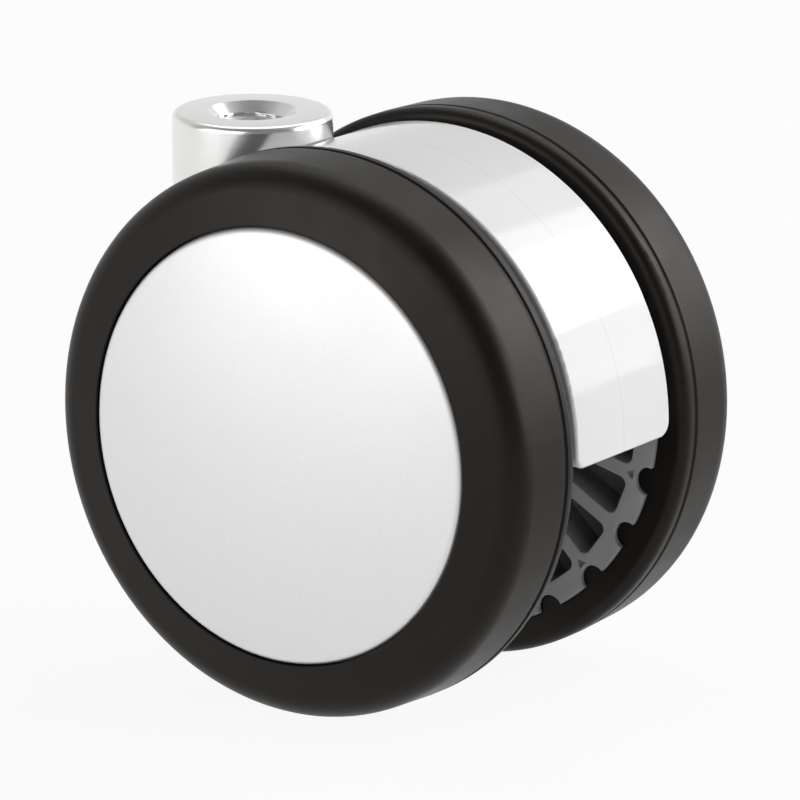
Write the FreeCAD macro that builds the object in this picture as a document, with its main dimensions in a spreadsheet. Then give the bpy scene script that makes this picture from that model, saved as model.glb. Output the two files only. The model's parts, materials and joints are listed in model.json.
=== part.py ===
import FreeCAD, Part
import math
import os
import re

import Sketcher
from FreeCAD import Placement, Rotation, Vector

# Twin wheel swivel caster, in millimetres.
# Origin: centre of the bush's top face. +Z is up along the swivel axis.
# The axle lies along Y, and the wheels trail at +X.

SIZES = {
    # Overall
    "wheel_diameter": 75,
    "trail": 23.3,
    "bush_drop": 0.6,
    # Swivel bush, turned from one bar with its stem
    "bush_diameter": 21.5,
    "bush_length": 16,
    "bush_chamfer": 0.6,
    "tap_drill_diameter": 8.5,
    "thread_depth": 14,
    "drill_point_angle": 118,
    "countersink_diameter": 12,
    "stem_diameter": 10,
    "stem_chamfer": 0.8,
    "stem_end_length": 1.8,
    # Thrust washer between the bush and the housing
    "thrust_washer_diameter": 18,
    "thrust_washer_thickness": 1.6,
    "free_gap": 0.3,
    # Guide bushes of the stem
    "guide_wall": 1.5,
    "guide_length": 10,
    "guide_inset": 0.4,
    "guide_flange_width": 2,
    "guide_flange_thickness": 1.2,
    "running_clearance": 0.05,
    "end_play": 0.2,
    # Washers and retaining rings
    "stem_washer_width": 2.6,
    "stem_washer_thickness": 0.8,
    "axle_washer_width": 1.9,
    "axle_washer_thickness": 0.6,
    "ring_thickness": 0.9,
    "ring_width": 2.1,
    "ring_groove_depth": 0.4,
    "ring_opening_angle": 60,
    # Housing
    "hood_inset": 1.6,
    "hood_side": 0.3,
    "hood_wall": 2.5,
    "hood_centre_ahead": 0.35,
    "hood_centre_above": 0.35,
    "hood_front_angle": -2.5,
    "hood_corner_radius": 2,
    "hood_edge_radius": 0.5,
    "column_below_axle": 11.1,
    "column_bulge": 2.45,
    "column_chamfer": 0.8,
    "scoop_gap": 0.4,
    "scoop_rear": 4.5,
    "shoulder_gap": 0.5,
    "web_thickness": 3.5,
    "web_front_angle": 30,
    "boss_diameter": 16,
    "rib_thickness": 2,
    "rib_inset": 4,
    "front_rib_angle": 65,
    "rear_rib_angle": 100,
    "cut_margin": 1,
    # Axle and wheel bushes
    "axle_diameter": 8,
    "axle_chamfer": 0.5,
    "axle_end_length": 1.1,
    "spacer_width": 3.5,
    "spacer_thickness": 0.9,
    "wheel_bush_wall": 2,
    "wheel_bush_flange_width": 2,
    "wheel_bush_flange_thickness": 1.2,
    # Wheel core
    "wheel_gap": 1.25,
    "flange_thickness": 3.3,
    "tooth_count": 24,
    "tooth_height": 2.2,
    "gullet_radius": 1.95,
    "gullet_inset": 0.05,
    "dimple_inset": 0.6,
    "dimple_size": 0.7,
    "dimple_depth": 0.6,
    "pocket_rim_wall": 1,
    "pocket_length": 13,
    "pocket_depth": 5.3,
    "pocket_corner_radius": 1.1,
    "pocket_rib": 2,
    "pocket_ring_wall": 1.5,
    "core_web": 2.5,
    "rim_wall": 3.4,
    "rim_length": 9.9,
    "hub_wall": 4.5,
    "hub_length": 9.2,
    # Tyre
    "tyre_thickness": 6.5,
    "tyre_overlap": 1.65,
    "tooth_proud": 0.6,
    "key_gap": 0.1,
    "inner_edge_radius": 1.4,
    "lip_width": 0.7,
    "lip_groove_width": 0.6,
    "lip_groove_depth": 0.2,
    "tread_width": 6.9,
    "tread_bevel": 0.25,
    "tread_draft": 2.5,
    "shoulder_radius": 4,
    "side_slope": 12,
    # Hub cap
    "cap_gap": 0.2,
    "cap_rise": 2.55,
    "cap_wall": 1.8,
    "cap_edge_radius": 0.9,
    "skirt_gap": 0.15,
    "skirt_wall": 1.2,
    "skirt_length": 4,
}

# Depths below the bush's top face, down the swivel axis
WASHER_SEAT = "(bush_length + thrust_washer_thickness)"
COLUMN_RIM = "(bush_length + shoulder_gap)"
TREAD = "(wheel_diameter / 2)"
AXLE_HEIGHT = f"(bush_drop - {TREAD})"
COLUMN_FOOT = f"(column_below_axle - {AXLE_HEIGHT})"
FLANGE_FOOT = f"({COLUMN_FOOT} + guide_flange_thickness)"
STEM_WASHER_TOP = f"({FLANGE_FOOT} + end_play)"
STEM_RING_TOP = f"({STEM_WASHER_TOP} + stem_washer_thickness)"
STEM_RING_FOOT = f"({STEM_RING_TOP} + ring_thickness)"
STEM_TIP = f"({STEM_RING_FOOT} + stem_end_length)"
COUNTERSINK_DEPTH = "(countersink_diameter / 2 - tap_drill_diameter / 2)"
DRILL_TIP = "(thread_depth + tap_drill_diameter / 2 / tan(drill_point_angle / 2))"

# Radii about the swivel axis
STEM = "(stem_diameter / 2)"
GUIDE = "(stem_diameter / 2 + guide_wall)"
SCOOP = "(bush_diameter / 2 + scoop_gap)"

# Offsets along the axle and radii about it
HOOD_SIDE = "(bush_diameter / 2 + hood_side)"
SPACER_END = f"({HOOD_SIDE} + spacer_thickness)"
FLANGE_START = f"({SPACER_END} + end_play)"
HUB_START = f"({FLANGE_START} + wheel_bush_flange_thickness)"
HUB_END = f"({HUB_START} + hub_length)"
AXLE_WASHER_START = f"({HUB_END} + end_play)"
AXLE_RING_START = f"({AXLE_WASHER_START} + axle_washer_thickness)"
AXLE_RING_END = f"({AXLE_RING_START} + ring_thickness)"
AXLE_END = f"({AXLE_RING_END} + axle_end_length)"
AXLE = "(axle_diameter / 2)"
WHEEL_BUSH = f"({AXLE} + wheel_bush_wall)"
CORE_FACE = f"({HOOD_SIDE} + wheel_gap)"
WEB_FACE = f"({CORE_FACE} + pocket_depth)"
TYRE_FACE = f"({CORE_FACE} + flange_thickness)"
RIM_END = f"({TYRE_FACE} + rim_length)"
RIM = f"({TREAD} - tyre_thickness)"
TOOTH_TIP = f"({RIM} + tooth_height)"
HALF_PITCH = "(180 / tooth_count)"
GULLET_REACH = f"({TOOTH_TIP} - gullet_inset)"
GULLET_CENTRE = (f"{GULLET_REACH} * cos({HALF_PITCH})", f"{GULLET_REACH} * sin({HALF_PITCH})")
DIMPLE_CENTRE = f"({RIM} - dimple_inset)"
POCKET_OUTER = f"({RIM} - pocket_rim_wall)"
POCKET_INNER = f"({POCKET_OUTER} - pocket_length)"
KEYED_FACE = f"({CORE_FACE} + tooth_proud)"
LIP_START = f"({KEYED_FACE} + inner_edge_radius)"
LIP_END = f"({LIP_START} + lip_width)"
TREAD_START = f"({LIP_END} + lip_groove_width)"
TREAD_END = f"({TREAD_START} + tread_width)"
TREAD_EDGE = f"({TREAD} - (tread_width - tread_bevel) * tan(tread_draft))"
SHOULDER_END_RADIUS = f"({TREAD_EDGE} - shoulder_radius * (cos(tread_draft) - sin(side_slope)))"
SHOULDER_END_OFFSET = f"({TREAD_END} + shoulder_radius * (cos(side_slope) - sin(tread_draft)))"
CAP_SEAT = f"({RIM} - tyre_overlap)"
TYRE_EDGE = f"({SHOULDER_END_OFFSET} + ({SHOULDER_END_RADIUS} - {CAP_SEAT}) * tan(side_slope))"
CAP_RADIUS = f"({CAP_SEAT} - cap_gap)"
CAP_CROWN = f"({TYRE_EDGE} + cap_rise)"
DOME = f"(({CAP_RADIUS} ^ 2 + cap_rise ^ 2) / (2 * cap_rise))"
DOME_CENTRE = f"({CAP_CROWN} - {DOME})"
RIM_INSIDE = f"({RIM} - rim_wall)"
SKIRT = f"({RIM_INSIDE} - skirt_gap)"
SKIRT_INSIDE = f"({SKIRT} - skirt_wall)"

# Hood arc in the plane of symmetry
HOOD_X = "(trail + hood_centre_ahead)"
HOOD_Z = f"({AXLE_HEIGHT} + hood_centre_above)"
HOOD = f"({TREAD} - hood_inset)"
HOOD_INSIDE = f"({HOOD} - hood_wall)"
HOOD_MIDDLE = f"({HOOD} - hood_wall / 2)"
COLUMN_FRONT = f"({HOOD_SIDE} + column_bulge)"
BOSS_INSIDE = "(boss_diameter / 2 - cut_margin)"

doc = FreeCAD.newDocument("twin_wheel_caster")


def fill_sheet(sizes):
    """Spreadsheet with one alias for each driving dimension."""
    table = doc.addObject("Spreadsheet::Sheet", "Sizes")
    for row, (alias, number) in enumerate(sizes.items(), start=1):
        table.set(f"A{row}", alias)
        table.set(f"B{row}", str(number))
        table.setAlias(f"B{row}", alias)
    doc.recompute()
    return table


sheet = fill_sheet(SIZES)


def linked(expression):
    """The expression with each size's name turned into a reference to its cell."""
    return re.sub(r"[a-z_]+", lambda word: f"Sizes.{word[0]}" if word[0] in SIZES else word[0], expression)


def value(expression):
    return float(sheet.evalExpression(expression))


def bind(thing, name, expression):
    thing.setExpression(name, linked(expression))


def origin_feature(body, role):
    return next(f for f in body.Origin.OriginFeatures if f.Role == role)


def new_body(label):
    body = doc.addObject("PartDesign::Body", label)
    body.Label = label
    return body


def new_sketch(body, plane, height):
    """Empty sketch on one of the body's own planes, raised along the plane's normal."""
    sketch = body.newObject("Sketcher::SketchObject", f"{body.Name}_sketch")
    sketch.AttachmentSupport = (origin_feature(body, plane), [""])
    sketch.MapMode = "FlatFace"
    bind(sketch, "AttachmentOffset.Base.z", height)
    return sketch


def arc_edge(start, end, radius, side):
    """Arc of less than half a turn from start to end, its centre to the left or right of the way there."""
    half = (end - start) * 0.5
    across = Vector(-half.y, half.x, 0).normalize()
    rise = math.sqrt(max(radius ** 2 - half.Length ** 2, 0))
    centre = start + half + across * (rise if side == "left" else -rise)
    first, last = (start, end) if side == "left" else (end, start)
    angles = [math.atan2(point.y - centre.y, point.x - centre.x) for point in (first, last)]
    return Part.ArcOfCircle(Part.Circle(centre, Vector(0, 0, 1), radius), *angles)


def outline(body, plane, corners, height="0"):
    """Closed outline of corners (x, y), or (x, y, radius, side) where the edge that leaves is an arc."""
    sketch = new_sketch(body, plane, height)
    points = [Vector(value(corner[0]), value(corner[1]), 0) for corner in corners]
    ends = []
    for index, corner in enumerate(corners):
        start, end = points[index], points[(index + 1) % len(points)]
        if len(corner) == 2:
            sketch.addGeometry(Part.LineSegment(start, end), False)
            ends.append((1, 2))
        else:
            sketch.addGeometry(arc_edge(start, end, value(corner[2]), corner[3]), False)
            ends.append((1, 2) if corner[3] == "left" else (2, 1))
    for index, corner in enumerate(corners):
        following = (index + 1) % len(corners)
        joint = Sketcher.Constraint("Coincident", index, ends[index][1], following, ends[following][0])
        sketch.addConstraint(joint)
        for kind, expression in zip(("DistanceX", "DistanceY"), corner):
            place = Sketcher.Constraint(kind, -1, 1, index, ends[index][0], value(expression))
            bind(sketch, f"Constraints[{sketch.addConstraint(place)}]", expression)
        if len(corner) > 2:
            bend = Sketcher.Constraint("Radius", index, value(corner[2]))
            bind(sketch, f"Constraints[{sketch.addConstraint(bend)}]", corner[2])
    return sketch


def disc(body, plane, centre, radius, height="0"):
    """Circle about a centre point."""
    sketch = new_sketch(body, plane, height)
    middle = Vector(value(centre[0]), value(centre[1]), 0)
    sketch.addGeometry(Part.Circle(middle, Vector(0, 0, 1), value(radius)), False)
    for kind, expression in zip(("DistanceX", "DistanceY"), centre):
        place = Sketcher.Constraint(kind, -1, 1, 0, 3, value(expression))
        bind(sketch, f"Constraints[{sketch.addConstraint(place)}]", expression)
    bend = Sketcher.Constraint("Radius", 0, value(radius))
    bind(sketch, f"Constraints[{sketch.addConstraint(bend)}]", radius)
    return sketch


def pad(body, sketch, length, symmetric=False, downward=False):
    feature = body.newObject("PartDesign::Pad", f"{body.Name}_pad")
    feature.Profile = sketch
    feature.Reversed = downward
    if symmetric:
        feature.SideType = "Symmetric"
    bind(feature, "Length", length)
    doc.recompute()
    return feature


def pocket(body, sketch, length, symmetric=False, upward=False):
    """Straight cut, which has to take material away."""
    before = body.Shape.Volume
    feature = body.newObject("PartDesign::Pocket", f"{body.Name}_pocket")
    feature.Profile = sketch
    feature.Reversed = upward
    if symmetric:
        feature.SideType = "Symmetric"
    bind(feature, "Length", length)
    doc.recompute()
    if not body.Shape.Volume < before:
        raise RuntimeError(f"a pocket of {body.Label} cuts nothing")
    return feature


def revolve(body, sketch, angle="360"):
    """Turn an outline of (radius, height) about the body's Z axis."""
    feature = body.newObject("PartDesign::Revolution", f"{body.Name}_revolution")
    feature.Profile = sketch
    feature.ReferenceAxis = (sketch, ["V_Axis"])
    bind(feature, "Angle", angle)
    doc.recompute()
    return feature


def around(body, features, count):
    """Repeat features evenly about the body's Z axis."""
    pattern = body.newObject("PartDesign::PolarPattern", f"{body.Name}_pattern")
    pattern.Originals = features
    pattern.Axis = (origin_feature(body, "Z_Axis"), [""])
    pattern.Angle = 360
    bind(pattern, "Occurrences", count)
    body.Tip = pattern
    doc.recompute()
    return pattern


def round_edges(body, edges, radius):
    base = body.Tip
    feature = body.newObject("PartDesign::Fillet", f"{body.Name}_fillet")
    feature.Base = (base, edges)
    bind(feature, "Radius", radius)
    body.Tip = feature
    doc.recompute()
    return feature


def bevel_edges(body, edges, size):
    base = body.Tip
    feature = body.newObject("PartDesign::Chamfer", f"{body.Name}_chamfer")
    feature.Base = (base, edges)
    bind(feature, "Size", size)
    body.Tip = feature
    doc.recompute()
    return feature


def edges_where(body, test):
    """Names of the body's edges that pass a test."""
    return [f"Edge{number}" for number, edge in enumerate(body.Shape.Edges, start=1)
            if not edge.Degenerated and test(edge)]


def on_swivel(body):
    """Stand a piece on the swivel axis, its own +Z pointing down from the bush's top face."""
    body.Placement = Placement(Vector(), Rotation(Vector(1, 0, 0), 180))
    return body


def on_axle(body, side, turn="0"):
    """Put a piece on the axle, its own +Z pointing out to the left (-Y) or right (+Y) wheel."""
    quarter = 90 if side == "left" else -90
    tipped = Rotation(Vector(1, 0, 0), quarter)
    body.Placement = Placement(Vector(), tipped * Rotation(Vector(0, 0, 1), value(turn)))
    bind(body, "Placement.Base.x", "trail")
    bind(body, "Placement.Base.z", AXLE_HEIGHT)
    return body


def turned(label, corners, angle="360"):
    body = new_body(label)
    revolve(body, outline(body, "XZ_Plane", corners), angle)
    return body


def ring_corners(inner, outer, low, high):
    return [(inner, low), (outer, low), (outer, high), (inner, high)]


def swivel_bush():
    bush = "bush_diameter / 2"
    groove = f"{STEM} - ring_groove_depth"
    return turned("swivel_bush", [
        ("countersink_diameter / 2", "0"),
        (f"{bush} - bush_chamfer", "0"),
        (bush, "bush_chamfer"),
        (bush, "bush_length - bush_chamfer"),
        (f"{bush} - bush_chamfer", "bush_length"),
        (STEM, "bush_length"),
        (STEM, STEM_RING_TOP),
        (groove, STEM_RING_TOP),
        (groove, STEM_RING_FOOT),
        (STEM, STEM_RING_FOOT),
        (STEM, f"{STEM_TIP} - stem_chamfer"),
        (f"{STEM} - stem_chamfer", STEM_TIP),
        ("0", STEM_TIP),
        ("0", DRILL_TIP),
        ("tap_drill_diameter / 2", "thread_depth"),
        ("tap_drill_diameter / 2", COUNTERSINK_DEPTH),
    ])


def upper_guide():
    top = f"{WASHER_SEAT} + guide_inset"
    return turned("upper_guide_bush", ring_corners(
        f"{STEM} + running_clearance", GUIDE, top, f"{top} + guide_length"))


def lower_guide():
    flange = f"{GUIDE} + guide_flange_width"
    return turned("lower_guide_bush", [
        (f"{STEM} + running_clearance", f"{COLUMN_FOOT} - guide_length"),
        (GUIDE, f"{COLUMN_FOOT} - guide_length"),
        (GUIDE, COLUMN_FOOT),
        (flange, COLUMN_FOOT),
        (flange, FLANGE_FOOT),
        (f"{STEM} + running_clearance", FLANGE_FOOT),
    ])


def retaining_ring(label, shaft, low, high):
    """Open spring ring that snaps into a groove of a shaft."""
    inside = f"{shaft} - ring_groove_depth"
    corners = ring_corners(inside, f"{inside} + ring_width", low, high)
    return turned(label, corners, "360 - ring_opening_angle")


def hood_point(radius, angle):
    return f"{HOOD_X} + {radius} * cos({angle})", f"{HOOD_Z} + {radius} * sin({angle})"


def hood_height(radius, x):
    return f"{HOOD_Z} + sqrt({radius} ^ 2 - ({x} - {HOOD_X}) ^ 2)"


def swivel_column(body):
    """Upright column for the stem: rounded behind, as wide as the hood, and bowed in front."""
    front = f"sqrt({COLUMN_FRONT} ^ 2 - {HOOD_SIDE} ^ 2)"
    plan = outline(body, "XY_Plane", [
        ("0", HOOD_SIDE, HOOD_SIDE, "left"),
        (f"-{HOOD_SIDE}", "0", HOOD_SIDE, "left"),
        ("0", f"-{HOOD_SIDE}"),
        (front, f"-{HOOD_SIDE}", COLUMN_FRONT, "left"),
        (front, HOOD_SIDE),
    ])
    pad(body, plan, COLUMN_FOOT, downward=True)


def hood_band(body):
    """Curved band over the wheels, and the column cut down to its line and round the bush."""
    profile = outline(body, "XZ_Plane", [
        (*hood_point(HOOD, "hood_front_angle"), HOOD, "left"),
        ("scoop_rear", hood_height(HOOD, "scoop_rear")),
        ("scoop_rear", hood_height(HOOD_INSIDE, "scoop_rear"), HOOD_INSIDE, "right"),
        hood_point(HOOD_INSIDE, "hood_front_angle"),
    ])
    pad(body, profile, f"2 * {HOOD_SIDE}", symmetric=True)

    ahead = f"{COLUMN_FRONT} + cut_margin"
    above = outline(body, "XZ_Plane", [
        ("scoop_rear", hood_height(HOOD, "scoop_rear"), HOOD, "right"),
        (ahead, hood_height(HOOD, ahead)),
        (ahead, "cut_margin"),
        ("scoop_rear", "cut_margin"),
    ])
    pocket(body, above, f"2 * {HOOD_SIDE} + 2 * cut_margin", symmetric=True)

    half = f"sqrt({SCOOP} ^ 2 - scoop_rear ^ 2)"
    beyond = f"({HOOD_SIDE} + cut_margin)"
    scoop = outline(body, "XY_Plane", [
        ("scoop_rear", f"-{half}", SCOOP, "left"),
        ("scoop_rear", half),
        ("scoop_rear", beyond),
        (f"-{beyond}", beyond),
        (f"-{beyond}", f"-{beyond}"),
        ("scoop_rear", f"-{beyond}"),
    ], f"-{COLUMN_RIM}")
    pocket(body, scoop, f"{COLUMN_RIM} + cut_margin", upward=True)


def axle_carrier(body):
    """Middle web, axle boss and cross ribs under the hood."""
    web_back = f"{COLUMN_FRONT} - hood_wall / 2"
    web = outline(body, "XZ_Plane", [
        (web_back, f"cut_margin - {COLUMN_FOOT}"),
        ("trail", f"{AXLE_HEIGHT} - {BOSS_INSIDE}"),
        (f"trail + {BOSS_INSIDE}", AXLE_HEIGHT),
        (*hood_point(HOOD_MIDDLE, "web_front_angle"), HOOD_MIDDLE, "left"),
        (web_back, hood_height(HOOD_MIDDLE, web_back)),
    ])
    pad(body, web, "web_thickness", symmetric=True)
    boss = disc(body, "XZ_Plane", ("trail", AXLE_HEIGHT), "boss_diameter / 2")
    pad(body, boss, f"2 * {HOOD_SIDE}", symmetric=True)
    for angle in ("front_rib_angle", "rear_rib_angle"):
        rib_corners = []
        for reach, side in ((BOSS_INSIDE, -1), (HOOD_MIDDLE, -1), (HOOD_MIDDLE, 1), (BOSS_INSIDE, 1)):
            aside = f"{side} * rib_thickness / 2"
            rib_corners.append((
                f"trail + {reach} * cos({angle}) - {aside} * sin({angle})",
                f"{AXLE_HEIGHT} + {reach} * sin({angle}) + {aside} * cos({angle})",
            ))
        rib = outline(body, "XZ_Plane", rib_corners)
        pad(body, rib, f"2 * {HOOD_SIDE} - 2 * rib_inset", symmetric=True)


def housing_bores(body):
    seat = disc(body, "XY_Plane", ("0", "0"), "thrust_washer_diameter / 2", f"-{COLUMN_RIM}")
    pocket(body, seat, f"{WASHER_SEAT} - {COLUMN_RIM}")
    bore = disc(body, "XY_Plane", ("0", "0"), GUIDE, f"-{COLUMN_RIM}")
    pocket(body, bore, COLUMN_FOOT)
    axle_hole = disc(body, "XZ_Plane", ("trail", AXLE_HEIGHT), AXLE)
    pocket(body, axle_hole, f"2 * {HOOD_SIDE} + cut_margin", symmetric=True)


def housing_edges(body):
    half_width = value(HOOD_SIDE)
    front = Vector(value(hood_point(HOOD_MIDDLE, "hood_front_angle")[0]), 0,
                   value(hood_point(HOOD_MIDDLE, "hood_front_angle")[1]))

    def at_front_corner(edge):
        middle = edge.CenterOfMass
        beside = abs(abs(middle.y) - half_width) < 1e-3
        return beside and (middle - Vector(front.x, middle.y, front.z)).Length < 1e-3

    def along_hood(edge):
        curve = edge.Curve
        return (isinstance(curve, Part.Circle) and abs(curve.Radius - value(HOOD)) < 1e-3
                and abs(abs(edge.CenterOfMass.y) - half_width) < 1e-3)

    def under_column(edge):
        start = edge.Vertexes[0].Point
        outside = math.hypot(start.x, start.y) > value(GUIDE) + 1e-3
        return outside and edge.BoundBox.ZMax < 1e-3 - value(COLUMN_FOOT)

    round_edges(body, edges_where(body, at_front_corner), "hood_corner_radius")
    round_edges(body, edges_where(body, along_hood), "hood_edge_radius")
    bevel_edges(body, edges_where(body, under_column), "column_chamfer")


def housing():
    body = new_body("housing")
    swivel_column(body)
    hood_band(body)
    axle_carrier(body)
    housing_bores(body)
    housing_edges(body)
    return body


def axle():
    groove = f"{AXLE} - ring_groove_depth"
    half = [
        (AXLE, AXLE_RING_START),
        (groove, AXLE_RING_START),
        (groove, AXLE_RING_END),
        (AXLE, AXLE_RING_END),
        (AXLE, f"{AXLE_END} - axle_chamfer"),
        (f"{AXLE} - axle_chamfer", AXLE_END),
        ("0", AXLE_END),
    ]
    other_half = [(radius, f"-({offset})") for radius, offset in reversed(half)]
    return turned("axle", half + other_half)


def wheel_bush(side):
    """Plain flanged bush that the wheel turns on."""
    flange = f"{WHEEL_BUSH} + wheel_bush_flange_width"
    inside = f"{AXLE} + running_clearance"
    return turned(f"{side}_wheel_bush", [
        (inside, FLANGE_START),
        (flange, FLANGE_START),
        (flange, HUB_START),
        (WHEEL_BUSH, HUB_START),
        (WHEEL_BUSH, HUB_END),
        (inside, HUB_END),
    ])


def wheel_core(side):
    """Moulded wheel body: toothed and pocketed inner ring, web, rim for the tyre and hub for the bush."""
    hub = f"{WHEEL_BUSH} + hub_wall"
    ring_inside = f"{POCKET_INNER} - pocket_ring_wall"
    web_back = f"{WEB_FACE} + core_web"
    body = turned(f"{side}_wheel_core", [
        (WHEEL_BUSH, HUB_START),
        (hub, HUB_START),
        (hub, WEB_FACE),
        (ring_inside, WEB_FACE),
        (ring_inside, CORE_FACE),
        (TOOTH_TIP, CORE_FACE),
        (TOOTH_TIP, TYRE_FACE),
        (RIM, TYRE_FACE),
        (RIM, RIM_END),
        (RIM_INSIDE, RIM_END),
        (RIM_INSIDE, web_back),
        (hub, web_back),
        (hub, HUB_END),
        (WHEEL_BUSH, HUB_END),
    ])

    def half_width(radius):
        return f"({radius} * tan({HALF_PITCH}) - pocket_rib / 2 / cos({HALF_PITCH}))"

    outer, inner = half_width(POCKET_OUTER), half_width(POCKET_INNER)
    well = outline(body, "XY_Plane", [
        (POCKET_INNER, f"-{inner}"),
        (POCKET_OUTER, f"-{outer}"),
        (POCKET_OUTER, outer),
        (POCKET_INNER, inner),
    ], CORE_FACE)
    around(body, [pocket(body, well, "pocket_depth", upward=True)], "tooth_count")

    def outer_corner(edge):
        ends = [vertex.Point for vertex in edge.Vertexes]
        upright = len(ends) == 2 and math.hypot(ends[0].x - ends[1].x, ends[0].y - ends[1].y) < 1e-3
        reach = math.hypot(value(POCKET_OUTER), value(outer))
        return (upright and isinstance(edge.Curve, Part.Line)
                and abs(math.hypot(ends[0].x, ends[0].y) - reach) < 1e-2)

    round_edges(body, edges_where(body, outer_corner), "pocket_corner_radius")

    gullet = disc(body, "XY_Plane", GULLET_CENTRE, "gullet_radius", CORE_FACE)
    around(body, [pocket(body, gullet, "flange_thickness", upward=True)], "tooth_count")

    def beside_gullet(reach, aside):
        return (f"({DIMPLE_CENTRE} + {reach}) * cos({HALF_PITCH}) - ({aside}) * sin({HALF_PITCH})",
                f"({DIMPLE_CENTRE} + {reach}) * sin({HALF_PITCH}) + ({aside}) * cos({HALF_PITCH})")

    dimple = outline(body, "XY_Plane", [
        beside_gullet("0 - dimple_size", "0"),
        beside_gullet("dimple_size / 2", "0 - dimple_size"),
        beside_gullet("dimple_size / 2", "dimple_size"),
    ], CORE_FACE)
    around(body, [pocket(body, dimple, "dimple_depth", upward=True)], "tooth_count / 2")
    return body


def tyre(side):
    """Solid tyre, keyed to the teeth by lugs, with a mould line, a tapered tread and a rounded shoulder."""
    groove = f"{TREAD} - lip_groove_depth"
    keyed = f"{TOOTH_TIP} + key_gap"
    body = turned(f"{side}_tyre", [
        (RIM, TYRE_FACE),
        (keyed, TYRE_FACE),
        (keyed, KEYED_FACE),
        (f"{TREAD} - inner_edge_radius", KEYED_FACE, "inner_edge_radius", "left"),
        (TREAD, LIP_START),
        (TREAD, LIP_END),
        (groove, LIP_END),
        (groove, TREAD_START),
        (f"{TREAD} - tread_bevel", TREAD_START),
        (TREAD, f"{TREAD_START} + tread_bevel"),
        (TREAD_EDGE, TREAD_END, "shoulder_radius", "left"),
        (SHOULDER_END_RADIUS, SHOULDER_END_OFFSET),
        (CAP_SEAT, TYRE_EDGE),
        (CAP_SEAT, RIM_END),
        (RIM, RIM_END),
    ])
    lug = disc(body, "XY_Plane", GULLET_CENTRE, "gullet_radius - key_gap", KEYED_FACE)
    around(body, [pad(body, lug, f"{TYRE_FACE} - {KEYED_FACE}")], "tooth_count")
    return body


def hub_cap(side):
    """Domed cover that sits on the rim's end and plugs into it with a skirt."""
    inside_edge = f"{DOME_CENTRE} + sqrt(({DOME} - cap_wall) ^ 2 - {SKIRT_INSIDE} ^ 2)"
    round_reach = f"({CAP_RADIUS} - cap_edge_radius)"
    round_height = f"sqrt(({DOME} - cap_edge_radius) ^ 2 - {round_reach} ^ 2)"
    outward = f"{DOME} / ({DOME} - cap_edge_radius)"
    dome_end = (f"{round_reach} * {outward}", f"{DOME_CENTRE} + {round_height} * {outward}")
    return turned(f"{side}_hub_cap", [
        ("0", CAP_CROWN, DOME, "right"),
        (*dome_end, "cap_edge_radius", "right"),
        (CAP_RADIUS, f"{DOME_CENTRE} + {round_height}"),
        (CAP_RADIUS, RIM_END),
        (SKIRT, RIM_END),
        (SKIRT, f"{RIM_END} - skirt_length"),
        (SKIRT_INSIDE, f"{RIM_END} - skirt_length"),
        (SKIRT_INSIDE, inside_edge),
        ("0", f"{CAP_CROWN} - cap_wall"),
    ])


def swivel_pieces():
    return [on_swivel(piece) for piece in (
        swivel_bush(),
        turned("thrust_washer", ring_corners(
            f"{STEM} + free_gap", "thrust_washer_diameter / 2", "bush_length", WASHER_SEAT)),
        upper_guide(),
        lower_guide(),
        turned("stem_washer", ring_corners(
            STEM, f"{STEM} + stem_washer_width", STEM_WASHER_TOP, STEM_RING_TOP)),
        retaining_ring("stem_retaining_ring", STEM, STEM_RING_TOP, STEM_RING_FOOT),
    )]


def wheel_pieces(side):
    pieces = [on_axle(piece, side) for piece in (
        turned(f"{side}_axle_spacer", ring_corners(
            AXLE, f"{AXLE} + spacer_width", HOOD_SIDE, SPACER_END)),
        wheel_bush(side),
        turned(f"{side}_axle_washer", ring_corners(
            AXLE, f"{AXLE} + axle_washer_width", AXLE_WASHER_START, AXLE_RING_START)),
        retaining_ring(f"{side}_axle_retaining_ring", AXLE, AXLE_RING_START, AXLE_RING_END),
        hub_cap(side),
    )]
    pieces += [on_axle(piece, side, HALF_PITCH) for piece in (wheel_core(side), tyre(side))]
    return pieces


def check(pieces):
    doc.recompute()
    failed = [thing.Label for thing in doc.Objects if {"Invalid", "Error"} & set(thing.State)]
    failed += [piece.Label for piece in pieces if piece.Shape.isNull() or not piece.Shape.isValid()]
    if failed:
        raise RuntimeError(f"these did not build: {failed}")


def write(pieces):
    os.makedirs("parts", exist_ok=True)
    for piece in pieces:
        piece.Shape.exportStep(f"parts/{piece.Label}.step")


caster = swivel_pieces() + [housing(), on_axle(axle(), "right")]
for wheel_side in ("left", "right"):
    caster += wheel_pieces(wheel_side)
check(caster)
write(caster)
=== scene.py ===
import json
import math

import bmesh
import bpy
from mathutils import Matrix, Vector


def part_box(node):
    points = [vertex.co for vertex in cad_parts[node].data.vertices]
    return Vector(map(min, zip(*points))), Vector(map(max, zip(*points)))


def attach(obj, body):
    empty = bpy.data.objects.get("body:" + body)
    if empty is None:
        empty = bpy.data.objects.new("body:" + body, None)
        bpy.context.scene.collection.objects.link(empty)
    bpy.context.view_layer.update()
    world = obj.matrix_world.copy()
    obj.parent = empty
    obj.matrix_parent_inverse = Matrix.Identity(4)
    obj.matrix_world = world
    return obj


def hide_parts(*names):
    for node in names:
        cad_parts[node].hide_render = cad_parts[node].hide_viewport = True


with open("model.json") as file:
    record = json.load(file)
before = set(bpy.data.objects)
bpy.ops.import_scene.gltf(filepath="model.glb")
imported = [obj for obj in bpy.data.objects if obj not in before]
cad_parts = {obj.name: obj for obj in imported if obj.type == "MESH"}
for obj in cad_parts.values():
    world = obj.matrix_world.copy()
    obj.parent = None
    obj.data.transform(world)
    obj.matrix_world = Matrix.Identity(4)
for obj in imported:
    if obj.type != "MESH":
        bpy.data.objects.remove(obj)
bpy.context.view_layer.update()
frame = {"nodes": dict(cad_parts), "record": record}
scene = bpy.context.scene

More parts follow.
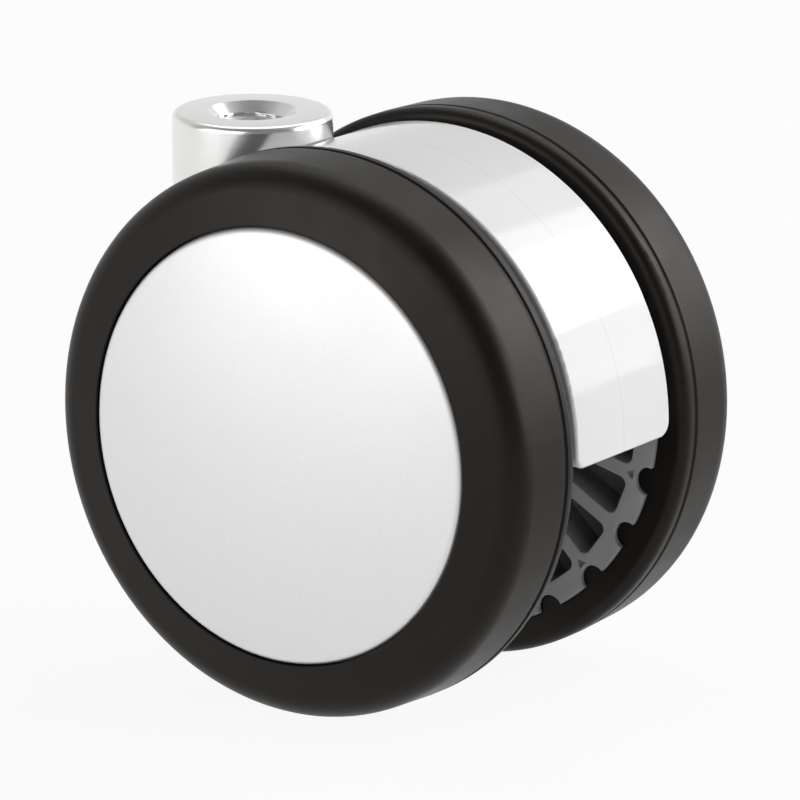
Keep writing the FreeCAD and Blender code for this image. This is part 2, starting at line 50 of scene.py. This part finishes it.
# Twin wheel swivel caster: finishes for its CAD parts, three finer turned pieces, camera, light, floor.
# Sizes are in metres, in the frame's own axes. Azimuths and elevations are in degrees.

# Wheels
AXLE_CENTRE = Vector((0.0233, 0.0, -0.0369))
WHEEL_RADIUS = 0.0375

# Hub cap
CAP_RISE = 0.00255
CAP_EDGE = 0.0009  # radius of its rounded edge
CAP_WALL = 0.0018
CAP_SKIRT_RADIUS = 0.02745
CAP_SKIRT_WALL = 0.0012
CAP_SKIRT_LENGTH = 0.004

# Swivel bush, in depths below its top face and radii about the swivel axis
BUSH_LENGTH = 0.016
BUSH_EDGE = 0.0009  # radius of its rounded edges
COUNTERSINK = 0.006
BORE = 0.00425
BORE_DEPTH = 0.014
DRILL_TIP = 0.01655
THREAD_ROOT = 0.005
THREAD_PITCH = 0.0015
THREAD_STEEPNESS = 1.15  # above 1, a flat crest is left between the grooves
STEM = 0.005
STEM_GROOVE = 0.0046
STEM_CHAMFER = 0.0008

# How finely the turned pieces are divided
CAP_SEGMENTS = 192
DOME_STEPS = 48
INNER_DOME_STEPS = 24
BUSH_SEGMENTS = 128
EDGE_STEPS = 8
THREAD_STEPS = 10  # in one turn of the thread
SHARP_ANGLE = math.radians(28.0)  # from which an edge shows as sharp

# Surfaces
TYRE_SOFTNESS = 0.0004  # radius to which edges look rounded
MATT_SOFTNESS = 0.0003
SEAM_FLOOR = 0.00004  # half width of the hood's parting line at its bottom
SEAM_WIDTH = 0.0002  # half width of the parting line at the surface
RIPPLE = 0.15  # height of the hood's ripple, as a share of the parting line's depth
# Painted shade in the wheel cores' pockets: their colour is painted darker between these depths, in
# place of shade
POCKET_RIM = 0.0003  # depth below a wheel core's face where its pockets begin to darken
POCKET_SHADE = 0.003  # depth where they are darkest
STAIN = 0.92  # share of a metal's colour that its stains keep

# Camera
CAMERA_AZIMUTH = 34.885
CAMERA_ELEVATION = 15.017
CAMERA_DISTANCE = 1.0084  # from the axle's middle
CAMERA_RIGHT = 0.000543  # steps aside that frame the object
CAMERA_UP = 0.000425
SENSOR_WIDTH = 36.0  # in millimetres, as the lens is
LENS = 341.36

# Lamps: name, azimuth, elevation, width, height, radiance
LAMP_DISTANCE = 1.2
LAMPS = (
    ("right_box", 138.0, 24.0, 1.2, 1.0, 1.7),
    ("key_box", 148.0, 28.0, 0.5, 0.46, 3.6),
    ("upper_box", 172.0, 38.0, 0.6, 0.5, 0.8),
    ("front_box", 352.0, 20.0, 1.3, 0.85, 1.6),
    ("low_box", 332.0, 7.0, 0.7, 0.3, 3.2),
    ("fill_box", 114.0, 14.0, 0.5, 0.5, 3.9),
    ("top_box", 215.0, 64.0, 1.0, 0.8, 1.4),
)

# Studio
AMBIENT = 0.08  # level of the diffuse light
ROOM = 0.25  # level that reflections show on the camera's side
BACKDROP = Vector((-0.57, 0.82, 0.0))  # the way to the bright backdrop, across the object
BACKDROP_BLEND = 0.3  # how gradually the room turns into the backdrop
CEILING = 0.65  # share of those levels that is left overhead
CEILING_RISE = 0.5  # how far up a direction points where the ceiling is reached

# Floor
FLOOR_SIZE = 12.0
FLOOR_COLOUR = (0.9, 0.9, 0.9, 1.0)
FLOOR_ROUGHNESS = 0.8
FLOOR_GLOW = 0.92  # share of plain white in what the camera and reflections see of it
WHITE = (1.0, 1.0, 1.0, 1.0)


def fill(tree, made, inputs):
    """Set a node's inputs, each given as a value or as a socket to link."""
    for key, given in inputs.items():
        if isinstance(given, bpy.types.NodeSocket):
            tree.links.new(given, made.inputs[key])
        else:
            made.inputs[key].default_value = given


def node(tree, kind, inputs=None, **settings):
    """A shader node with its inputs and settings."""
    made = tree.nodes.new(f"ShaderNode{kind}")
    for key, setting in settings.items():
        setattr(made, key, setting)
    fill(tree, made, inputs or {})
    return made


def new_material(name):
    material = bpy.data.materials.new(name)
    material.use_nodes = True
    tree = material.node_tree
    return material, tree, tree.nodes["Principled BSDF"]


def place(tree):
    """Position on the piece, in metres, in the object's own frame."""
    return node(tree, "TexCoord").outputs["Object"]


def axes(tree, vector):
    return node(tree, "SeparateXYZ", {"Vector": vector}).outputs


def aside(tree, where):
    """Distance from the plane of symmetry."""
    return math_node(tree, "ABSOLUTE", axes(tree, where)["Y"])


def noise(tree, vector, scale, detail=2.0, roughness=0.5):
    inputs = {"Vector": vector, "Scale": scale, "Detail": detail, "Roughness": roughness}
    return node(tree, "TexNoise", inputs).outputs["Fac"]


def spread(tree, factor, low, high, start=0.3, end=0.7):
    """The factor's range from start to end, stretched to run from low to high."""
    inputs = {"Value": factor, "From Min": start, "From Max": end, "To Min": low, "To Max": high}
    return node(tree, "MapRange", inputs).outputs["Result"]


def math_node(tree, operation, first, second=0.0):
    return node(tree, "Math", {0: first, 1: second}, operation=operation).outputs["Value"]


def blend_colours(tree, factor, first, second):
    made = node(tree, "ValToRGB", {"Fac": factor})
    for stop, colour in zip(made.color_ramp.elements, (first, second)):
        stop.color = (*colour, 1.0)
    return made.outputs["Color"]


def soft_edges(tree, radius):
    """Normal that rounds sharp edges off, as moulding and polishing do."""
    return node(tree, "Bevel", {"Radius": radius}, samples=6).outputs["Normal"]


def bump(tree, height, strength, distance, normal=None):
    inputs = {"Height": height, "Strength": strength, "Distance": distance}
    if normal is not None:
        inputs["Normal"] = normal
    return node(tree, "Bump", inputs).outputs["Normal"]


def tyre_rubber():
    """Warm black rubber with a faint mottle, fine grain and softened edges."""
    material, tree, shader = new_material("tyre_rubber")
    where = place(tree)
    mottle = noise(tree, where, scale=140.0, detail=3.0)
    grain = noise(tree, where, scale=5200.0)
    black = blend_colours(tree, mottle, (0.0055, 0.005, 0.0044), (0.0085, 0.0078, 0.0069))
    edges = soft_edges(tree, TYRE_SOFTNESS)
    fill(tree, shader, {
        "Base Color": black,
        "Roughness": spread(tree, mottle, low=0.36, high=0.44),
        "Specular IOR Level": 0.195,
        "Specular Tint": (1.0, 0.89, 0.81, 1.0),
        "Normal": bump(tree, grain, strength=0.12, distance=0.00002, normal=edges),
    })
    return material


def silver_white():
    """White plastic with fine metal flakes under a satin surface."""
    material, tree, shader = new_material("silver_white_plastic")
    where = place(tree)
    flake = noise(tree, where, scale=4200.0, detail=3.0, roughness=0.7)
    cloud = noise(tree, where, scale=60.0)
    pale = spread(tree, flake, low=0.0, high=1.0)
    fill(tree, shader, {
        "Base Color": blend_colours(tree, pale, (0.74, 0.745, 0.745), (0.80, 0.80, 0.80)),
        "Metallic": 0.6,
        "Roughness": spread(tree, cloud, low=0.44, high=0.50),
        "Normal": bump(tree, flake, strength=0.06, distance=0.00001),
    })
    return material


def gloss_white():
    """Glossy moulded plastic with a faint parting line in the plane of symmetry."""
    material, tree, shader = new_material("gloss_white_plastic")
    where = place(tree)
    seam = spread(tree, aside(tree, where), low=1.0, high=0.0, start=SEAM_FLOOR, end=SEAM_WIDTH)
    peel = noise(tree, where, scale=260.0)
    relief = math_node(tree, "SUBTRACT", math_node(tree, "MULTIPLY", peel, RIPPLE), seam)
    fill(tree, shader, {
        "Base Color": blend_colours(tree, seam, (0.89, 0.89, 0.89), (0.82, 0.82, 0.82)),
        "Roughness": spread(tree, peel, low=0.07, high=0.13),
        "Normal": bump(tree, relief, strength=0.15, distance=0.00003),
    })
    return material


def turned_metal(name, colour, metallic, roughness, marks):
    """Metal turned on a lathe about the swivel axis: fine rings round it, and faint stains."""
    material, tree, shader = new_material(name)
    where = place(tree)
    along = axes(tree, where)
    squares = [math_node(tree, "POWER", along[axis], 2.0) for axis in ("X", "Y")]
    across = math_node(tree, "SQRT", math_node(tree, "ADD", *squares))
    rings = node(tree, "CombineXYZ", {"X": across, "Z": along["Z"]}).outputs["Vector"]
    lines = noise(tree, rings, scale=5200.0, detail=3.0, roughness=0.7)
    stains = noise(tree, where, scale=240.0, detail=3.0)
    stained = tuple(channel * STAIN for channel in colour)
    fill(tree, shader, {
        "Base Color": blend_colours(tree, stains, stained, colour),
        "Metallic": metallic,
        "Roughness": spread(tree, lines, low=roughness * 0.8, high=roughness * 1.25),
        "Normal": bump(tree, lines, strength=marks, distance=0.00001),
    })
    return material


def matt(name, low, high, roughness, graininess, face=None):
    """Matt surface between two colours, with slight flow marks, grain and softened edges.

    Where a face is given, as a distance from the plane of symmetry, painted shade darkens the pockets
    behind it.
    """
    material, tree, shader = new_material(name)
    where = place(tree)
    flow = noise(tree, where, scale=90.0, detail=4.0, roughness=0.6)
    grain = noise(tree, where, scale=3600.0)
    if face is not None:
        # Painted shade: the colour darkens with depth below the face, in place of the pockets' shade
        painted_pocket_shade = spread(tree, aside(tree, where), low=1.0, high=0.0,
                          start=face + POCKET_RIM, end=face + POCKET_SHADE)
        pale = math_node(tree, "MULTIPLY", painted_pocket_shade, spread(tree, flow, low=0.8, high=1.0))
    else:
        pale = spread(tree, flow, low=0.0, high=1.0)
    edges = soft_edges(tree, MATT_SOFTNESS)
    fill(tree, shader, {
        "Base Color": blend_colours(tree, pale, low, high),
        "Roughness": spread(tree, flow, low=roughness - 0.05, high=roughness + 0.06),
        "Normal": bump(tree, grain, strength=graininess, distance=0.00002, normal=edges),
    })
    return material


core_low, core_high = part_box("right_wheel_core")
core_face = min(abs(core_low[1]), abs(core_high[1]))
FINISHES = {
    "black_tyre": tyre_rubber(),
    "silver_white_plastic": silver_white(),
    "white_plastic": gloss_white(),
    # The grey wheel cores get painted shade in their pockets, below their inner face
    "grey_plastic": matt("grey_plastic", low=(0.24, 0.24, 0.24), high=(0.58, 0.58, 0.575),
                         roughness=0.48, graininess=0.10, face=core_face),
    "natural_plastic": matt("natural_plastic", low=(0.74, 0.72, 0.66), high=(0.80, 0.78, 0.72),
                            roughness=0.45, graininess=0.10),
    "spring_steel": matt("blackened_steel", low=(0.018, 0.018, 0.02), high=(0.03, 0.03, 0.032),
                         roughness=0.35, graininess=0.20),
    "plated_steel": turned_metal("plated_steel", colour=(0.86, 0.86, 0.85), metallic=0.85,
                                 roughness=0.20, marks=0.03),
    "bright_steel": turned_metal("machined_steel", colour=(0.56, 0.56, 0.55), metallic=1.0,
                                 roughness=0.30, marks=0.15),
}


def dress():
    """Give every CAD part the finish of its material slot."""
    for subpart in frame["record"]["subparts"]:
        piece = frame["nodes"][subpart["node"]]
        piece.data.materials.clear()
        piece.data.materials.append(FINISHES[subpart["material_slot"]])


def add_object(name, data):
    made = bpy.data.objects.new(name, data)
    scene.collection.objects.link(made)
    return made


def arc(centre, radius, start, end, steps):
    """Points (radius, offset) on an arc from one angle to another, in radians."""
    angles = [start + (end - start) * step / steps for step in range(steps + 1)]
    return [(centre[0] + radius * math.cos(a), centre[1] + radius * math.sin(a)) for a in angles]


def lathe(name, outline, centre, axis, segments, ripple=None):
    """Closed outline of (radius, offset) points turned about an axis.

    Where ripple is given, it says how far outwards a point at a radius, offset and angle moves.
    """
    side = Vector((1.0, 0.0, 0.0))
    across = axis.cross(side)
    mesh = bmesh.new()
    rings = []
    for radius, offset in outline:
        middle = centre + offset * axis
        if radius == 0.0:
            rings.append([mesh.verts.new(middle)] * segments)
            continue
        ring = []
        for step in range(segments):
            angle = 2.0 * math.pi * step / segments
            outward = math.cos(angle) * side + math.sin(angle) * across
            reach = radius + (ripple(radius, offset, angle) if ripple else 0.0)
            ring.append(mesh.verts.new(middle + reach * outward))
        rings.append(ring)
    for first, second in zip(rings, rings[1:] + rings[:1]):
        for step in range(segments):
            after = (step + 1) % segments
            # A ring on the axis is one point, named once, so the faces that meet there are triangles
            corners = dict.fromkeys((first[step], first[after], second[after], second[step]))
            if len(corners) > 2:
                mesh.faces.new(corners)
    bmesh.ops.recalc_face_normals(mesh, faces=mesh.faces)
    data = bpy.data.meshes.new(name)
    mesh.to_mesh(data)
    mesh.free()
    data.shade_smooth()
    data.set_sharp_from_angle(angle=SHARP_ANGLE)
    return add_object(name, data)


def stand_in(piece, part, body, slot):
    """Let a piece take a CAD part's place on its body, in its finish."""
    piece.data.materials.append(FINISHES[slot])
    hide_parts(part)
    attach(piece, body)


def hub_cap(side, axis):
    """Domed cap with a rounded edge and a skirt that plugs into the rim."""
    low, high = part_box(f"{side}_hub_cap")
    radius = (high[0] - low[0]) / 2.0
    crown = max(abs(low[1]), abs(high[1]))
    skirt_end = min(abs(low[1]), abs(high[1]))
    seat = skirt_end + CAP_SKIRT_LENGTH
    dome = (radius ** 2 + CAP_RISE ** 2) / (2.0 * CAP_RISE)
    dome_centre = (0.0, crown - dome)
    edge_radius = radius - CAP_EDGE
    edge_rise = math.sqrt((dome - CAP_EDGE) ** 2 - edge_radius ** 2)
    edge_centre = (edge_radius, dome_centre[1] + edge_rise)
    top = math.pi / 2.0
    turn = math.atan2(edge_rise, edge_radius)
    skirt_inside = CAP_SKIRT_RADIUS - CAP_SKIRT_WALL
    inner_dome = dome - CAP_WALL
    inner_turn = math.acos(skirt_inside / inner_dome)
    outline = [(0.0, crown)]
    outline += arc(dome_centre, dome, top, turn, DOME_STEPS)[1:]
    outline += arc(edge_centre, CAP_EDGE, turn, 0.0, EDGE_STEPS)[1:]
    outline += [(radius, seat), (CAP_SKIRT_RADIUS, seat)]
    outline += [(CAP_SKIRT_RADIUS, skirt_end), (skirt_inside, skirt_end)]
    outline += arc(dome_centre, inner_dome, inner_turn, top, INNER_DOME_STEPS)[:-1]
    outline += [(0.0, crown - CAP_WALL)]
    piece = lathe(f"{side}_hub_cap_dome", outline, AXLE_CENTRE, axis, CAP_SEGMENTS)
    stand_in(piece, f"{side}_hub_cap", f"{side}_wheel", "silver_white_plastic")


def thread(radius, offset, angle):
    """Helical groove of the bush's bore, run out at both of its ends."""
    if radius != BORE:
        return 0.0
    phase = (offset / THREAD_PITCH - angle / (2.0 * math.pi)) % 1.0
    flank = max(0.0, 1.0 - abs(2.0 * phase - 1.0) * THREAD_STEEPNESS)
    fade = min(1.0, (BORE_DEPTH - offset) / THREAD_PITCH)
    cone = max(0.0, COUNTERSINK - offset - BORE)
    return max((THREAD_ROOT - BORE) * flank * fade, cone)


def swivel_bush():
    """Turned bush with rounded edges and a threaded bore, and its stem with the ring's groove."""
    low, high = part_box("swivel_bush")
    bush = (high[0] - low[0]) / 2.0
    tip = -low[2]
    ring_low, ring_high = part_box("stem_retaining_ring")
    groove_start = -ring_high[2]
    groove_end = -ring_low[2]
    quarter = math.pi / 2.0
    edge_centre = (bush - BUSH_EDGE, BUSH_EDGE)
    foot_centre = (bush - BUSH_EDGE, BUSH_LENGTH - BUSH_EDGE)
    outline = [(COUNTERSINK, 0.0)]
    outline += arc(edge_centre, BUSH_EDGE, -quarter, 0.0, EDGE_STEPS)
    outline += arc(foot_centre, BUSH_EDGE, 0.0, quarter, EDGE_STEPS)
    outline += [(STEM, BUSH_LENGTH), (STEM, groove_start), (STEM_GROOVE, groove_start)]
    outline += [(STEM_GROOVE, groove_end), (STEM, groove_end), (STEM, tip - STEM_CHAMFER)]
    outline += [(STEM - STEM_CHAMFER, tip), (0.0, tip), (0.0, DRILL_TIP)]
    threaded = BORE_DEPTH - (COUNTERSINK - THREAD_ROOT)
    rings = math.ceil(threaded / THREAD_PITCH * THREAD_STEPS)
    outline += [(BORE, BORE_DEPTH - threaded * ring / rings) for ring in range(rings + 1)]
    down = Vector((0.0, 0.0, -1.0))
    piece = lathe("threaded_swivel_bush", outline, Vector(), down, BUSH_SEGMENTS, thread)
    stand_in(piece, "swivel_bush", "stem", "plated_steel")


def look_from(azimuth, elevation):
    """Right, up and back directions of a camera that looks at the object from there."""
    a = math.radians(azimuth)
    e = math.radians(elevation)
    right = Vector((math.cos(a), math.sin(a), 0.0))
    up = Vector((-math.sin(a) * math.sin(e), math.cos(a) * math.sin(e), math.cos(e)))
    back = Vector((math.sin(a) * math.cos(e), -math.cos(a) * math.cos(e), math.sin(e)))
    return right, up, back


def set_up(thing, spot, directions):
    """Put a camera or a lamp at a spot, with its own axes along three directions."""
    turn = Matrix(directions).transposed()
    thing.matrix_world = Matrix.Translation(spot) @ turn.to_4x4()


def set_camera():
    data = bpy.data.cameras.new("camera")
    data.sensor_fit = "HORIZONTAL"
    data.sensor_width = SENSOR_WIDTH
    data.lens = LENS
    camera = add_object("camera", data)
    right, up, back = look_from(CAMERA_AZIMUTH, CAMERA_ELEVATION)
    spot = AXLE_CENTRE + CAMERA_DISTANCE * back + CAMERA_RIGHT * right + CAMERA_UP * up
    set_up(camera, spot, (right, up, back))
    scene.camera = camera


def softbox(name, azimuth, elevation, width, height, radiance):
    """Area lamp of even radiance that faces the axle's middle."""
    data = bpy.data.lights.new(name, "AREA")
    data.shape = "RECTANGLE"
    data.size = width
    data.size_y = height
    data.energy = math.pi * width * height * radiance
    right, up, back = look_from(azimuth, elevation)
    set_up(add_object(name, data), AXLE_CENTRE + LAMP_DISTANCE * back, (right, up, back))


def straight_rays(tree):
    """One for a ray from the camera, off a glossy surface or through a clear one, else nothing."""
    rays = node(tree, "LightPath").outputs
    mirrored = math_node(tree, "MAXIMUM", rays["Is Glossy Ray"], rays["Is Transmission Ray"])
    return math_node(tree, "MAXIMUM", rays["Is Camera Ray"], mirrored)


def set_world():
    """White to the camera, a backdrop in a dim room to reflections, and little diffuse light."""
    world = bpy.data.worlds.new("studio")
    world.use_nodes = True
    tree = world.node_tree
    toward = node(tree, "TexCoord").outputs["Generated"]
    height = axes(tree, toward)["Z"]
    across = node(tree, "VectorMath", {0: toward, 1: BACKDROP}, operation="DOT_PRODUCT")
    behind = across.outputs["Value"]
    overhead = spread(tree, height, low=1.0, high=CEILING, start=0.0, end=CEILING_RISE)
    around = spread(tree, behind, low=ROOM, high=1.0, start=-BACKDROP_BLEND, end=BACKDROP_BLEND)
    lit = math_node(tree, "MULTIPLY", overhead, around)
    shown = spread(tree, straight_rays(tree), low=AMBIENT, high=lit, start=0.0, end=1.0)
    seen = node(tree, "LightPath").outputs["Is Camera Ray"]
    strength = math_node(tree, "MAXIMUM", seen, shown)
    fill(tree, tree.nodes["Background"], {"Color": WHITE, "Strength": strength})
    scene.world = world


def set_floor():
    """Pale floor that takes the object's shadow and looks almost white."""
    height = AXLE_CENTRE.z - WHEEL_RADIUS
    bpy.ops.mesh.primitive_plane_add(size=FLOOR_SIZE, location=(0.0, 0.0, height))
    floor = bpy.context.object
    floor.name = "floor"
    material, tree, shader = new_material("floor_white")
    fill(tree, shader, {
        "Base Color": FLOOR_COLOUR,
        "Roughness": FLOOR_ROUGHNESS,
        "Specular IOR Level": 0.0,
    })
    glow = node(tree, "Emission", {"Color": WHITE, "Strength": 1.0})
    share = math_node(tree, "MULTIPLY", straight_rays(tree), FLOOR_GLOW)
    blend = {0: share, 1: shader.outputs["BSDF"], 2: glow.outputs["Emission"]}
    mixed = node(tree, "MixShader", blend)
    fill(tree, tree.nodes["Material Output"], {"Surface": mixed.outputs["Shader"]})
    floor.data.materials.append(material)


dress()
hub_cap("left", Vector((0.0, -1.0, 0.0)))
hub_cap("right", Vector((0.0, 1.0, 0.0)))
swivel_bush()
set_camera()
for lamp in LAMPS:
    softbox(*lamp)
set_world()
set_floor()
scene.view_settings.view_transform = "Standard"
